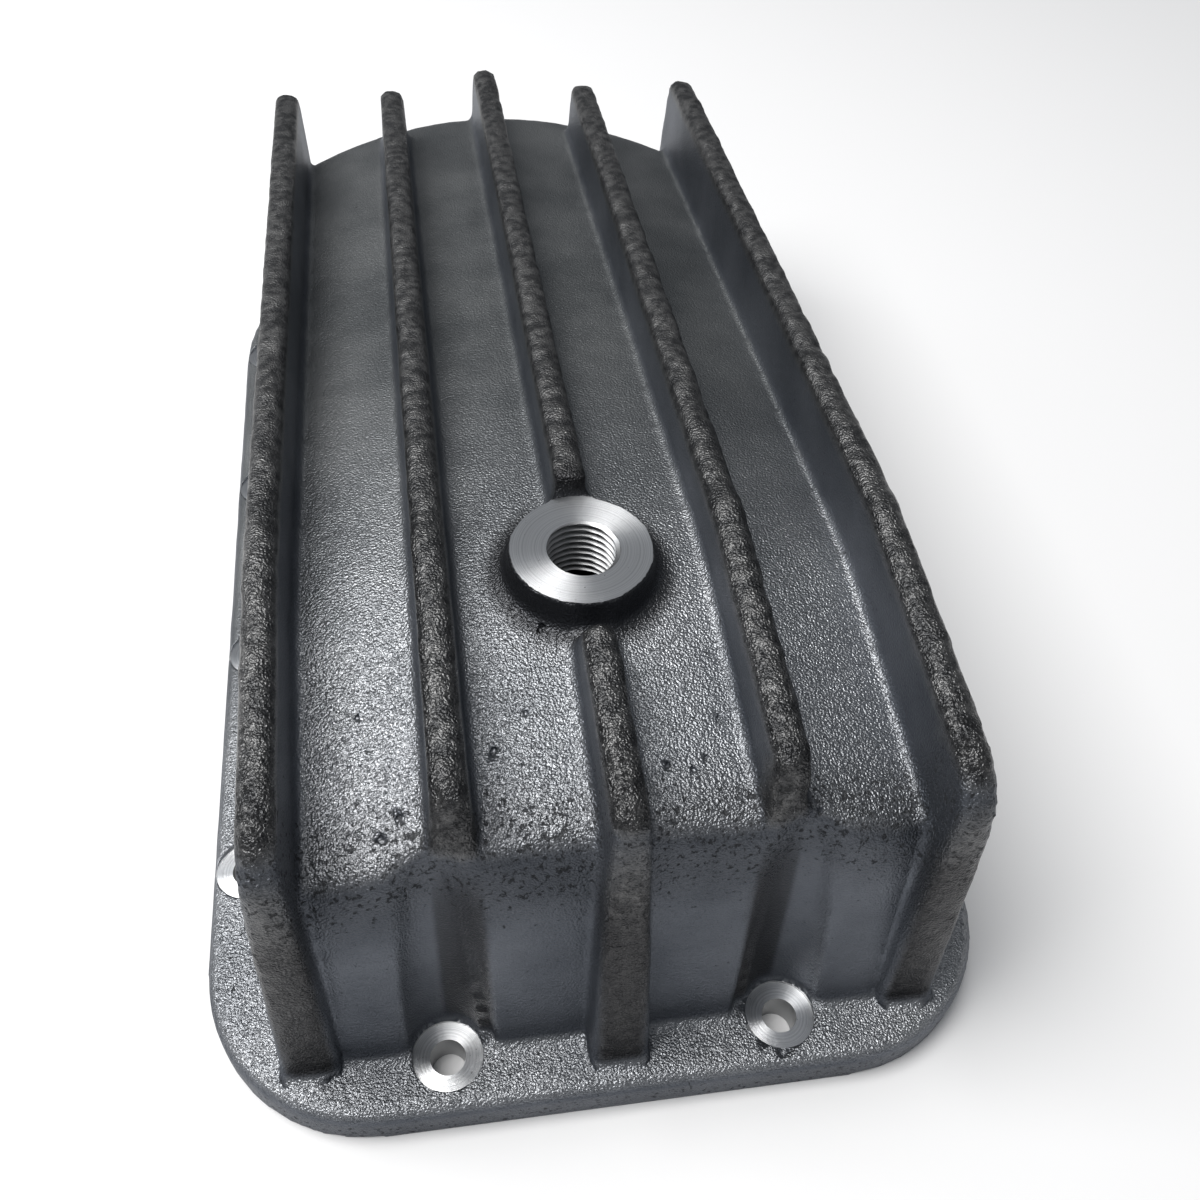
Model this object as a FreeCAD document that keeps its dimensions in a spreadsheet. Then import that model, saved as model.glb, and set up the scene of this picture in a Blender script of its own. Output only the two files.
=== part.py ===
import FreeCAD, Part
import math
import os
import Sketcher

# Oil pan: one sand casting in aluminium, modelled as it stands on its gasket face.
# The gasket face is z = 0 and the cooling fins point up. The length runs along y: the near end,
# with the drain, is at -y, and the arched far end at +y. Lengths are in millimetres, angles in degrees.

# Driving sizes. Heights are taken from the gasket face, places along y from the near edge of the flange.
SIZES = {
    "flange_width": 150.0,
    "flange_length": 288.0,
    "flange_thick": 8.0,
    "flange_corner": 32.0,
    "flange_far_arc": 107.0,
    "flange_far_blend": 67.0,
    "flange_bevel": 1.3,
    "wall_gap": 11.3,
    "wall_corner": 12.0,
    "wall_far_corner": 14.0,
    "wall_end_draft": 9.5,
    "wall_side_inset": 0.4,
    "wall_thick": 5.0,
    "floor_thick": 5.0,
    "floor_top": 69.0,
    "floor_near_slope": 9.0,
    "floor_far_slope": 4.2,
    "floor_crest_round": 120.0,
    "floor_crown": 240.0,
    "floor_edge_round": 6.0,
    "drain_y": 71.8,
    "drain_face": 73.35,
    "drain_radius": 13.0,
    "drain_draft": 9.0,
    "drain_inner_face": 61.0,
    "drain_bore": 12.4,
    "spanner_gap": 6.0,
    "spanner_gap_shift": 2.0,
    "fin_top": 78.4,
    "fin_near_slope": 6.3,
    "fin_far_slope": 2.75,
    "fin_thick": 4.6,
    "fin_draft": 1.1,
    "fin_bevel": 1.1,
    "centre_fin_near": 5.0,
    "centre_fin_far_inset": 8.0,
    "centre_fin_knee": 6.0,
    "mid_fin_x": 26.7,
    "mid_fin_inset": 0.6,
    "mid_fin_far_inset": 27.0,
    "mid_fin_far_lean": 4.0,
    "mid_fin_knee": 3.5,
    "outer_fin_x": 55.3,
    "outer_fin_near": 9.6,
    "outer_fin_far_inset": 25.0,
    "outer_fin_lean": 4.8,
    "outer_fin_knee": 12.0,
    "outer_fin_far_knee": 6.0,
    "bolt_hole": 6.5,
    "spot_face": 12.9,
    "spot_depth": 0.8,
    "end_bolt_x": 31.0,
    "end_bolt_inset": 10.1,
    "side_bolt_inset": 7.0,
    "side_bolt_first": 52.6,
    "side_bolt_pitch": 56.2,
    "alcove_radius": 7.3,
    "alcove_draft": 1.5,
}
SIDE_BOLT_COUNT = 4

# How far helper shapes reach past the casting, so that every cut is clean.
CLEAR = 20.0
# The share of a body's volume by which a join may be off, through rounding alone.
JOIN_ERROR = 0.0005

doc = FreeCAD.newDocument("oil_pan")
sheet = doc.addObject("Spreadsheet::Sheet", "sizes")
for row, (alias, number) in enumerate(SIZES.items(), start=1):
    sheet.set(f"A{row}", alias)
    sheet.set(f"B{row}", str(number))
    sheet.setAlias(f"B{row}", alias)
doc.recompute()


def tangent(angle):
    return math.tan(math.radians(angle))


class Size:
    """A length that knows its present value and the expression that ties it to the sheet."""

    def __init__(self, value, text):
        self.value = value
        self.text = text

    def __add__(self, other):
        other = as_size(other)
        return Size(self.value + other.value, f"({self.text} + {other.text})")

    def __sub__(self, other):
        other = as_size(other)
        return Size(self.value - other.value, f"({self.text} - {other.text})")

    def __mul__(self, other):
        other = as_size(other)
        return Size(self.value * other.value, f"({self.text} * {other.text})")

    def __truediv__(self, other):
        other = as_size(other)
        return Size(self.value / other.value, f"({self.text} / {other.text})")

    def __neg__(self):
        return Size(-self.value, f"(0 - {self.text})")


def as_size(number):
    return number if isinstance(number, Size) else Size(float(number), str(float(number)))


def size(alias):
    return Size(SIZES[alias], f"sizes.{alias}")


def tan_of(angle):
    return Size(tangent(angle.value), f"tan({angle.text})")


def root_of(number):
    return Size(math.sqrt(number.value), f"sqrt({number.text})")


def along(distance):
    """A place along y, measured from the near edge of the flange."""
    return as_size(distance) - size("flange_length") / 2


def bind(thing, prop, length):
    thing.setExpression(prop, length.text)


def origin_plane(body, role):
    return next(item for item in body.Origin.OriginFeatures if item.Role == role)


def new_body(label):
    body = doc.addObject("PartDesign::Body", label)
    body.Label = label
    return body


def new_sketch(body, name, role, offset=None):
    sketch = body.newObject("Sketcher::SketchObject", name)
    sketch.AttachmentSupport = (origin_plane(body, role), [""])
    sketch.MapMode = "FlatFace"
    if offset is not None:
        sketch.AttachmentOffset = FreeCAD.Placement(FreeCAD.Vector(0, 0, offset.value), FreeCAD.Rotation())
        bind(sketch, "AttachmentOffset.Base.z", offset)
    return sketch


def dimension(sketch, kind, where, length):
    index = sketch.addConstraint(Sketcher.Constraint(kind, *where, length.value))
    bind(sketch, f"Constraints[{index}]", length)


def place_point(sketch, geometry, position, x, y):
    dimension(sketch, "DistanceX", (-1, 1, geometry, position), x)
    dimension(sketch, "DistanceY", (-1, 1, geometry, position), y)


def arc_between(start, end, centre):
    """The shorter arc about centre from start to end, as a curve and whether it runs backwards."""
    radius = (start - centre).Length
    first = math.atan2(start.y - centre.y, start.x - centre.x)
    last = math.atan2(end.y - centre.y, end.x - centre.x)
    backwards = math.sin(last - first) < 0
    if backwards:
        first, last = last, first
    circle = Part.Circle(centre, FreeCAD.Vector(0, 0, 1), radius)
    return Part.ArcOfCircle(circle, first, last), backwards


def rounded_chain(sketch, corners, closed=True):
    """Straight runs from corner to corner. A corner is (x, y) or (x, y, radius of its rounding)."""
    points = [FreeCAD.Vector(corner[0].value, corner[1].value, 0) for corner in corners]
    count = len(corners)
    entry, leave, centres = {}, {}, {}
    for i, corner in enumerate(corners):
        entry[i] = leave[i] = points[i]
        if len(corner) > 2:
            back = (points[i - 1] - points[i]).normalize()
            ahead = (points[(i + 1) % count] - points[i]).normalize()
            half = back.getAngle(ahead) / 2
            reach = corner[2].value / math.tan(half)
            entry[i] = points[i] + back * reach
            leave[i] = points[i] + ahead * reach
            middle = (back + ahead).normalize()
            centres[i] = points[i] + middle * (corner[2].value / math.sin(half))
    runs = count if closed else count - 1
    lines = []
    for i in range(runs):
        segment = Part.LineSegment(leave[i], entry[(i + 1) % count])
        lines.append(sketch.addGeometry(segment, False))
    for i, corner in enumerate(corners):
        first = i == 0 and not closed
        last = i == count - 1 and not closed
        if first:
            place_point(sketch, lines[0], 1, corner[0], corner[1])
            continue
        if last:
            place_point(sketch, lines[-1], 2, corner[0], corner[1])
            continue
        before = lines[i - 1]
        after = lines[i % runs]
        if i not in centres:
            sketch.addConstraint(Sketcher.Constraint("Coincident", before, 2, after, 1))
            place_point(sketch, after, 1, corner[0], corner[1])
            continue
        curve, backwards = arc_between(entry[i], leave[i], centres[i])
        arc = sketch.addGeometry(curve, False)
        arc_start, arc_end = (2, 1) if backwards else (1, 2)
        sketch.addConstraint(Sketcher.Constraint("Tangent", before, 2, arc, arc_start))
        sketch.addConstraint(Sketcher.Constraint("Tangent", arc, arc_end, after, 1))
        dimension(sketch, "Radius", (arc,), corner[2])
        sharp = sketch.addGeometry(Part.Point(points[i]), True)
        sketch.addConstraint(Sketcher.Constraint("PointOnObject", sharp, 1, before))
        sketch.addConstraint(Sketcher.Constraint("PointOnObject", sharp, 1, after))
        place_point(sketch, sharp, 1, corner[0], corner[1])


def arched_outline(sketch, half_width, near, apex, corner, blend, arc):
    """Straight near end with rounded corners, straight sides, and a far end arched on one large arc."""
    w, n, r, b, a = half_width.value, near.value, corner.value, blend.value, arc.value
    arc_centre = FreeCAD.Vector(0, apex.value - a, 0)
    blend_y = arc_centre.y + math.sqrt((a - b) ** 2 - (w - b) ** 2)
    blend_centre = FreeCAD.Vector(w - b, blend_y, 0)
    outward = (blend_centre - arc_centre).normalize()
    touch = arc_centre + outward * a

    def mirrored(point):
        return FreeCAD.Vector(-point.x, point.y, 0)

    corner_centre = FreeCAD.Vector(w - r, n + r, 0)
    vertices = [
        FreeCAD.Vector(-w + r, n, 0), FreeCAD.Vector(w - r, n, 0), FreeCAD.Vector(w, n + r, 0),
        FreeCAD.Vector(w, blend_y, 0), touch, mirrored(touch),
        FreeCAD.Vector(-w, blend_y, 0), FreeCAD.Vector(-w, n + r, 0),
    ]
    centres = {1: corner_centre, 3: blend_centre, 4: arc_centre,
               5: mirrored(blend_centre), 7: mirrored(corner_centre)}
    pieces = []
    for i, start in enumerate(vertices):
        end = vertices[(i + 1) % len(vertices)]
        if i in centres:
            curve = arc_between(start, end, centres[i])[0]
        else:
            curve = Part.LineSegment(start, end)
        pieces.append(sketch.addGeometry(curve, False))
    near_line, right_corner, right_side, right_blend, far_arc, left_blend, left_side, left_corner = pieces
    for i, piece in enumerate(pieces):
        sketch.addConstraint(Sketcher.Constraint("Tangent", piece, 2, pieces[(i + 1) % len(pieces)], 1))
    sketch.addConstraint(Sketcher.Constraint("Horizontal", near_line))
    sketch.addConstraint(Sketcher.Constraint("Vertical", right_side))
    sketch.addConstraint(Sketcher.Constraint("Vertical", left_side))
    sketch.addConstraint(Sketcher.Constraint("Equal", right_corner, left_corner))
    sketch.addConstraint(Sketcher.Constraint("Equal", right_blend, left_blend))
    dimension(sketch, "DistanceX", (-1, 1, right_side, 1), half_width)
    dimension(sketch, "DistanceX", (-1, 1, left_side, 1), -half_width)
    dimension(sketch, "DistanceY", (-1, 1, near_line, 1), near)
    dimension(sketch, "Radius", (right_corner,), corner)
    dimension(sketch, "Radius", (right_blend,), blend)
    dimension(sketch, "Radius", (far_arc,), arc)
    sketch.addConstraint(Sketcher.Constraint("PointOnObject", far_arc, 3, -2))
    dimension(sketch, "DistanceY", (-1, 1, far_arc, 3), apex - arc)


def rectangle(sketch, x_low, x_high, y_low, y_high):
    rounded_chain(sketch, [(x_low, y_low), (x_high, y_low), (x_high, y_high), (x_low, y_high)])


def circles(sketch, places, radius):
    for x, y in places:
        circle = Part.Circle(FreeCAD.Vector(x.value, y.value, 0), FreeCAD.Vector(0, 0, 1), radius.value)
        index = sketch.addGeometry(circle, False)
        place_point(sketch, index, 3, x, y)
        dimension(sketch, "Radius", (index,), radius)


def checked(feature, sign):
    """Recompute, and make sure that the feature added (1) or removed (-1) material, or changed it (0)."""
    before = feature.BaseFeature.Shape.Volume if feature.BaseFeature else 0.0
    doc.recompute()
    if not feature.Shape.isValid() or len(feature.Shape.Solids) != 1:
        raise RuntimeError(f"{feature.Name} isn't one valid solid")
    change = feature.Shape.Volume - before
    if change * sign < 0 or abs(change) < 1e-3:
        raise RuntimeError(f"{feature.Name} changed the volume by {change:.3f} cubic mm")
    return feature


def pad(body, name, sketch, length, symmetric=False):
    feature = body.newObject("PartDesign::Pad", name)
    feature.Profile = sketch
    feature.Length = length.value
    bind(feature, "Length", length)
    feature.Midplane = symmetric
    return checked(feature, 1)


def pocket(body, name, sketch, length, upward=True, symmetric=False):
    feature = body.newObject("PartDesign::Pocket", name)
    feature.Profile = sketch
    feature.Length = length.value
    bind(feature, "Length", length)
    feature.Reversed = upward
    feature.Midplane = symmetric
    return checked(feature, -1)


def round_edges(body, name, base, radius, wanted):
    names = [f"Edge{i}" for i, edge in enumerate(base.Shape.Edges, start=1) if wanted(edge)]
    feature = body.newObject("PartDesign::Fillet", name)
    feature.Base = (base, names)
    feature.Radius = radius.value
    bind(feature, "Radius", radius)
    return checked(feature, 0)


def bevel_edges(body, name, base, width, wanted):
    names = [f"Edge{i}" for i, edge in enumerate(base.Shape.Edges, start=1) if wanted(edge)]
    feature = body.newObject("PartDesign::Chamfer", name)
    feature.Base = (base, names)
    feature.Size = width.value
    bind(feature, "Size", width)
    return checked(feature, 0)


def body_mirror(body, name):
    """Complete a right half with its mirror image on the left."""
    feature = body.newObject("PartDesign::Mirrored", name)
    feature.TransformMode = "Whole shape"
    feature.MirrorPlane = (origin_plane(body, "YZ_Plane"), [""])
    feature.Refine = True
    body.Tip = feature
    return checked(feature, 1)


# Sizes that follow from the driving ones.
half_flange = size("flange_width") / 2
full_height = size("fin_top") + CLEAR
end_lean = tan_of(size("wall_end_draft"))
side_lean = tan_of(size("fin_draft"))
flange_top = size("flange_thick")
flange_far_centre = size("flange_length") - size("flange_far_arc")


def fin_half(height):
    """Half the thickness of a fin at a height: it thickens downwards by its draft."""
    return size("fin_thick") / 2 + (size("fin_top") - height) * side_lean


def wall_outline(body, name, height, inset):
    """The walls' outline at a height, moved inwards by inset. The side walls carry the outer fins."""
    sketch = new_sketch(body, name, "XY_Plane", height)
    rise = (height - flange_top) * end_lean
    half_width = size("outer_fin_x") + fin_half(height) - size("wall_side_inset") - inset
    near = along(size("wall_gap") + rise + inset)
    apex = along(size("flange_length") - size("wall_gap") - rise - inset)
    arc = size("flange_far_arc") - size("wall_gap") - rise - inset
    corner = size("wall_corner") - inset
    blend = size("wall_far_corner") - inset
    arched_outline(sketch, half_width, near, apex, corner, blend, arc)
    return sketch


def floor_path(body, name, drop):
    """The floor's middle line: it rises from both ends to the drain, the pan's deepest place in use."""
    sketch = new_sketch(body, name, "YZ_Plane")
    crest = size("floor_top") - drop
    near_run = size("drain_y") + CLEAR
    far_run = size("flange_length") - size("drain_y") + CLEAR
    rounded_chain(sketch, [
        (along(-CLEAR), crest - near_run * tan_of(size("floor_near_slope"))),
        (along(size("drain_y")), crest, size("floor_crest_round")),
        (along(size("flange_length") + CLEAR), crest - far_run * tan_of(size("floor_far_slope"))),
    ], closed=False)
    return sketch


def above_floor(body, name, drop):
    """Everything above the floor: its lower side is an arc, because the floor is crowned across."""
    start = along(-CLEAR)
    sketch = new_sketch(body, name, "XZ_Plane", -start)
    crest = size("floor_top") - drop - (size("drain_y") + CLEAR) * tan_of(size("floor_near_slope"))
    half = half_flange + CLEAR
    crown = size("floor_crown")
    sag = crown - root_of(crown * crown - half * half)
    low = crest - sag
    high = crest + full_height
    centre = FreeCAD.Vector(0, crest.value - crown.value, 0)
    left = FreeCAD.Vector(-half.value, low.value, 0)
    right = FreeCAD.Vector(half.value, low.value, 0)
    arc = sketch.addGeometry(arc_between(right, left, centre)[0], False)
    top_left = FreeCAD.Vector(-half.value, high.value, 0)
    top_right = FreeCAD.Vector(half.value, high.value, 0)
    sides = [Part.LineSegment(left, top_left), Part.LineSegment(top_left, top_right),
             Part.LineSegment(top_right, right)]
    up, across, down = [sketch.addGeometry(side, False) for side in sides]
    joints = [(arc, 2, up, 1), (up, 2, across, 1), (across, 2, down, 1), (down, 2, arc, 1)]
    for joint in joints:
        sketch.addConstraint(Sketcher.Constraint("Coincident", *joint))
    place_point(sketch, up, 1, -half, low)
    place_point(sketch, down, 2, half, low)
    place_point(sketch, across, 1, -half, high)
    place_point(sketch, across, 2, half, high)
    dimension(sketch, "Radius", (arc,), crown)
    return sketch


def pan_form(label, foot, inset, drop):
    """A closed block with drafted walls under a crowned, sloping floor, open to the flange below."""
    body = new_body(label)
    low = wall_outline(body, label + "_foot", foot, inset)
    high = wall_outline(body, label + "_head", size("fin_top"), inset)
    block = body.newObject("PartDesign::AdditiveLoft", label + "_walls")
    block.Profile = low
    block.Sections = [high]
    block.Ruled = True
    checked(block, 1)
    path = floor_path(body, label + "_slope", drop)
    section = above_floor(body, label + "_crown", drop)
    doc.recompute()
    trim = body.newObject("PartDesign::SubtractivePipe", label + "_floor")
    trim.Profile = section
    trim.Spine = (path, [])
    checked(trim, -1)
    return body, trim


def floor_rim(edge):
    """The loop where the floor meets the walls: those of its edges that aren't vertical."""
    box = edge.BoundBox
    return box.ZMin > size("flange_thick").value and box.ZLength < 0.6 * edge.Length


def rib_rim(edge):
    """The outer rim of half a rib above its foot: no seam across the top, nothing on the middle plane."""
    across = edge.BoundBox.XLength > edge.Length / 2
    return edge.BoundBox.ZMax > size("flange_thick").value and edge.BoundBox.XMin > 1e-3 and not across


def fin(label, x, profile, central=False):
    """A drafted rib along y, cut to its side profile and rounded. The central one is parted and halved."""
    body = new_body(label)
    bind(body, "Placement.Base.x", x)
    beam = new_sketch(body, label + "_section", "XZ_Plane")
    low = as_size(0.0)
    middle = as_size(0.0)
    top = size("fin_top") + CLEAR
    rounded_chain(beam, [(middle, low), (fin_half(low), low), (fin_half(top), top), (middle, top)])
    pad(body, label + "_beam", beam, size("flange_length") + CLEAR, symmetric=True)
    side = new_sketch(body, label + "_profile", "YZ_Plane")
    rectangle(side, along(-CLEAR), along(size("flange_length") + CLEAR), as_size(-CLEAR), top + CLEAR)
    rounded_chain(side, profile)
    last = pocket(body, label + "_trim", side, size("flange_width") + CLEAR, symmetric=True)
    if central:
        last = part_for_drain(body, label)
    bevel_edges(body, label + "_bevels", last, size("fin_bevel"), rib_rim)
    if not central:
        body_mirror(body, label + "_mirror")
    return body


def part_for_drain(body, label):
    """Part the rib around the drain with a cone, so that a plug's head and a spanner find room."""
    cone = new_sketch(body, label + "_cone", "YZ_Plane")
    bind(cone, "AttachmentOffset.Base.x", along(size("drain_y") - size("spanner_gap_shift")))
    low = size("floor_top") - size("floor_thick") / 2
    slope = size("spanner_gap") / (size("fin_top") - low)
    high = size("fin_top") + CLEAR
    axis = as_size(0.0)
    wide = size("drain_radius") + (high - low) * slope
    rounded_chain(cone, [(axis, low), (size("drain_radius"), low), (wide, high), (axis, high)])
    groove = body.newObject("PartDesign::Groove", label + "_gap")
    groove.Profile = cone
    groove.ReferenceAxis = (cone, ["V_Axis"])
    groove.Angle = 360.0
    return checked(groove, -1)


def fin_profile(near, near_lean, near_knee, far, far_lean, far_knee):
    """The side profile of a fin: end faces that pass their feet at the flange, and the crested top."""
    near_lean = tan_of(near_lean)
    far_lean = tan_of(far_lean)
    near_slope = tan_of(size("fin_near_slope"))
    far_slope = tan_of(size("fin_far_slope"))
    rise = size("fin_top") - flange_top
    near_y = (near + (rise - size("drain_y") * near_slope) * near_lean) / (as_size(1.0) - near_slope * near_lean)
    far_y = (far - (rise + size("drain_y") * far_slope) * far_lean) / (as_size(1.0) - far_slope * far_lean)
    half = flange_top / 2
    return [
        (along(near - half * near_lean), half),
        (along(near_y), size("fin_top") - (size("drain_y") - near_y) * near_slope, near_knee),
        (along(size("drain_y")), size("fin_top")),
        (along(far_y), size("fin_top") - (far_y - size("drain_y")) * far_slope, far_knee),
        (along(far + half * far_lean), half),
    ]


doc.recompute()
outside, outside_floor = pan_form("pan_outside", as_size(0.0), as_size(0.0), as_size(0.0))
round_edges(outside, "floor_edge", outside_floor, size("floor_edge_round"), floor_rim)
inside, inside_floor = pan_form("pan_inside", as_size(0.0), size("wall_thick"), size("floor_thick"))

# Around each screw near an end wall the wall is scalloped, and inside it swells to keep its thickness.
end_near_y = along(size("end_bolt_inset"))
bolt_arc = size("flange_far_arc") - size("end_bolt_inset")
bolt_reach = root_of(bolt_arc * bolt_arc - size("end_bolt_x") * size("end_bolt_x"))
end_far_y = along(flange_far_centre + bolt_reach)
end_bolts = [(x, y) for y in (end_near_y, end_far_y) for x in (-size("end_bolt_x"), size("end_bolt_x"))]
side_x = half_flange - size("side_bolt_inset")
side_bolts = []
for i in range(SIDE_BOLT_COUNT):
    y = along(size("side_bolt_first") + size("side_bolt_pitch") * i)
    side_bolts += [(-side_x, y), (side_x, y)]

swell = new_sketch(inside, "swell_plan", "XY_Plane")
circles(swell, end_bolts, size("alcove_radius") + size("wall_thick"))
pocket(inside, "swells", swell, full_height)

flange = new_body("flange")
flange_plan = new_sketch(flange, "flange_plan", "XY_Plane")
arched_outline(flange_plan, half_flange, along(0), along(size("flange_length")), size("flange_corner"),
               size("flange_far_blend"), size("flange_far_arc"))
plate = pad(flange, "flange_plate", flange_plan, flange_top)
bevel_edges(flange, "flange_edge", plate, size("flange_bevel"),
            lambda edge: edge.BoundBox.ZMin > size("flange_thick").value / 2)

end_draft = size("wall_end_draft")
far_edge = size("flange_length")
centre_profile = fin_profile(size("centre_fin_near"), end_draft, size("centre_fin_knee"),
                             far_edge - size("centre_fin_far_inset"), end_draft, size("centre_fin_knee"))
mid_profile = fin_profile(size("wall_gap") + size("mid_fin_inset"), end_draft, size("mid_fin_knee"),
                          far_edge - size("mid_fin_far_inset"), size("mid_fin_far_lean"),
                          size("mid_fin_knee"))
outer_profile = fin_profile(size("outer_fin_near"), size("outer_fin_lean"), size("outer_fin_knee"),
                            far_edge - size("outer_fin_far_inset"), size("outer_fin_lean"),
                            size("outer_fin_far_knee"))
fins = [
    fin("fin_centre", as_size(0.0), centre_profile, central=True),
    fin("fin_mid", size("mid_fin_x"), mid_profile),
    fin("fin_outer", size("outer_fin_x"), outer_profile),
]


def boolean(kind, label, base, tool):
    """A Part boolean of two bodies. A join must keep all of the tool that stands outside the base."""
    thing = doc.addObject(kind, label)
    thing.Base = base
    thing.Tool = tool
    thing.Refine = False
    doc.recompute()
    shared = base.Shape.common(tool.Shape).Volume
    change = -shared if kind == "Part::Cut" else tool.Shape.Volume - shared
    if abs(thing.Shape.Volume - base.Shape.Volume - change) > JOIN_ERROR * base.Shape.Volume:
        raise RuntimeError(f"{label} lost some of its material")
    return thing


# The left half mirrors the right one, so the right half is joined and finished, and then mirrored.
left_room = doc.addObject("Part::Box", "left_room")
for prop, length in (("Length", half_flange + CLEAR), ("Width", size("flange_length") + CLEAR),
                     ("Height", full_height), ("Placement.Base.x", -(half_flange + CLEAR)),
                     ("Placement.Base.y", along(-CLEAR / 2))):
    bind(left_room, prop, length)
outside_half = boolean("Part::Cut", "outside_half", outside, left_room)
flange_half = boolean("Part::Cut", "flange_half", flange, left_room)
right_half = outside_half
for tool in [flange_half] + fins:
    right_half = boolean("Part::Fuse", "with_" + tool.Label, right_half, tool)
half_shell = boolean("Part::Cut", "casting_half_shell", right_half, inside)

pan = new_body("oil_pan")
pan.BaseFeature = half_shell
doc.recompute()

# The scallops are as cast. The spot faces and the screw holes are machined.
alcove_plan = new_sketch(pan, "alcove_plan", "XY_Plane", flange_top)
circles(alcove_plan, end_bolts, size("alcove_radius"))
alcoves = pocket(pan, "alcoves", alcove_plan, full_height)
alcoves.TaperAngle = SIZES["alcove_draft"]
alcoves.setExpression("TaperAngle", "sizes.alcove_draft")
checked(alcoves, -1)
spot_plan = new_sketch(pan, "spot_plan", "XY_Plane", flange_top - size("spot_depth"))
circles(spot_plan, end_bolts + side_bolts, size("spot_face") / 2)
pocket(pan, "spot_faces", spot_plan, size("spot_depth") + CLEAR)
hole_plan = new_sketch(pan, "hole_plan", "XY_Plane")
circles(hole_plan, end_bolts + side_bolts, size("bolt_hole") / 2)
pocket(pan, "screw_holes", hole_plan, flange_top)
both_halves = body_mirror(pan, "both_halves")

# The drain: a drafted boss through the floor, with a flat face on both sides and the thread's bore.
boss = new_sketch(pan, "drain_section", "YZ_Plane")
bind(boss, "AttachmentOffset.Base.x", along(size("drain_y")))
boss_height = size("drain_face") - size("drain_inner_face")
boss_foot = size("drain_radius") + boss_height * tan_of(size("drain_draft"))
axis = as_size(0.0)
rounded_chain(boss, [(axis, size("drain_inner_face")), (boss_foot, size("drain_inner_face")),
                     (size("drain_radius"), size("drain_face")), (axis, size("drain_face"))])
drain_boss = pan.newObject("PartDesign::Revolution", "drain_boss")
drain_boss.Profile = boss
drain_boss.ReferenceAxis = (boss, ["V_Axis"])
drain_boss.Angle = 360.0
checked(drain_boss, 1)
bore_plan = new_sketch(pan, "bore_plan", "XY_Plane", size("drain_inner_face") - 1.0)
circles(bore_plan, [(as_size(0.0), along(size("drain_y")))], size("drain_bore") / 2)
pocket(pan, "drain_bore", bore_plan, boss_height + 2.0)

doc.recompute()
for thing in doc.Objects:
    if "Invalid" in thing.State or "Error" in thing.State:
        raise RuntimeError(f"{thing.Name} did not build: {thing.State}")
shape = pan.Shape
if shape.isNull() or not shape.isValid() or len(shape.Solids) != 1:
    raise RuntimeError("The oil pan must be one valid solid")
os.makedirs("parts", exist_ok=True)
shape.exportStep("parts/oil_pan.step")
print("oil_pan", shape.BoundBox, round(shape.Volume / 1000, 1), "cubic cm", len(shape.Faces), "faces")
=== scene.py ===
import math
import bmesh
import bpy
import numpy as np
from mathutils import Matrix, Vector, noise


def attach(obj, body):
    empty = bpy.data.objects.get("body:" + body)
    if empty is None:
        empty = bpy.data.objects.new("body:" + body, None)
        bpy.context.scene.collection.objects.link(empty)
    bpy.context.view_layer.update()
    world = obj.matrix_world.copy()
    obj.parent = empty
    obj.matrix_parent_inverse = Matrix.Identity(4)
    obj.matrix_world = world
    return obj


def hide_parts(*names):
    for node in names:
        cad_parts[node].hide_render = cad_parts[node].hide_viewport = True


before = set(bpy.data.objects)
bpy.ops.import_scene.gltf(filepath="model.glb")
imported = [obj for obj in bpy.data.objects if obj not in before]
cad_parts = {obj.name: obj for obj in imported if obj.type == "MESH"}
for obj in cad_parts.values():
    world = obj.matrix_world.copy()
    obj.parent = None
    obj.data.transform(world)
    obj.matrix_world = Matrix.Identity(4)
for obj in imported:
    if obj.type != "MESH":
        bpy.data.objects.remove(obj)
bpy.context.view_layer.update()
scene = bpy.context.scene
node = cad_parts["oil_pan"]

# Lengths are in millimetres here and become metres in the meshes. z = 0 is the gasket face,
# y runs from the near end to the arched far end, and x from left to right.
mm = 0.001


def step(words):
    print("scene:", words, flush=True)


camera = {
    "place": (-26.11, -216.10, 225.43),
    "yaw": 9.95,
    "pitch": 48.64,
    "roll": -2.66,
    "focalPixels": 1192.29,
    "centrePixels": (574.0, 600.25),
    "imagePixels": 1200,
    "sensorWidth": 36.0,
    "nearClip": 0.01,
}


# The camera's right, down and forward directions, from its yaw, pitch and roll.
def turnedAxes():
    yaw, pitch, roll = (math.radians(camera[name]) for name in ("yaw", "pitch", "roll"))
    forward = Vector((math.sin(yaw) * math.cos(pitch), math.cos(yaw) * math.cos(pitch), -math.sin(pitch)))
    level = Vector((math.cos(yaw), -math.sin(yaw), 0.0))
    steep = forward.cross(level)
    right = level * math.cos(roll) + steep * math.sin(roll)
    down = steep * math.cos(roll) - level * math.sin(roll)
    return right, down, forward


def makeCamera():
    right, down, forward = turnedAxes()
    pixels = camera["imagePixels"]
    centreX, centreY = camera["centrePixels"]
    data = bpy.data.cameras.new("photoCamera")
    data.sensor_width = camera["sensorWidth"]
    data.lens = camera["focalPixels"] / pixels * data.sensor_width
    data.shift_x = (pixels / 2 - centreX) / pixels
    data.shift_y = (centreY - pixels / 2) / pixels
    data.clip_start = camera["nearClip"]
    obj = bpy.data.objects.new("photoCamera", data)
    scene.collection.objects.link(obj)
    turn = Matrix((right, -down, -forward)).transposed().to_4x4()
    obj.matrix_world = Matrix.Translation(Vector(camera["place"]) * mm) @ turn
    scene.camera = obj


makeCamera()
step("camera is set")


def newObject(name, mesh):
    obj = bpy.data.objects.new(name, mesh)
    scene.collection.objects.link(obj)
    return obj


def meshFromBmesh(name, bm):
    mesh = bpy.data.meshes.new(name)
    bm.to_mesh(mesh)
    bm.free()
    return mesh


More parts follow.
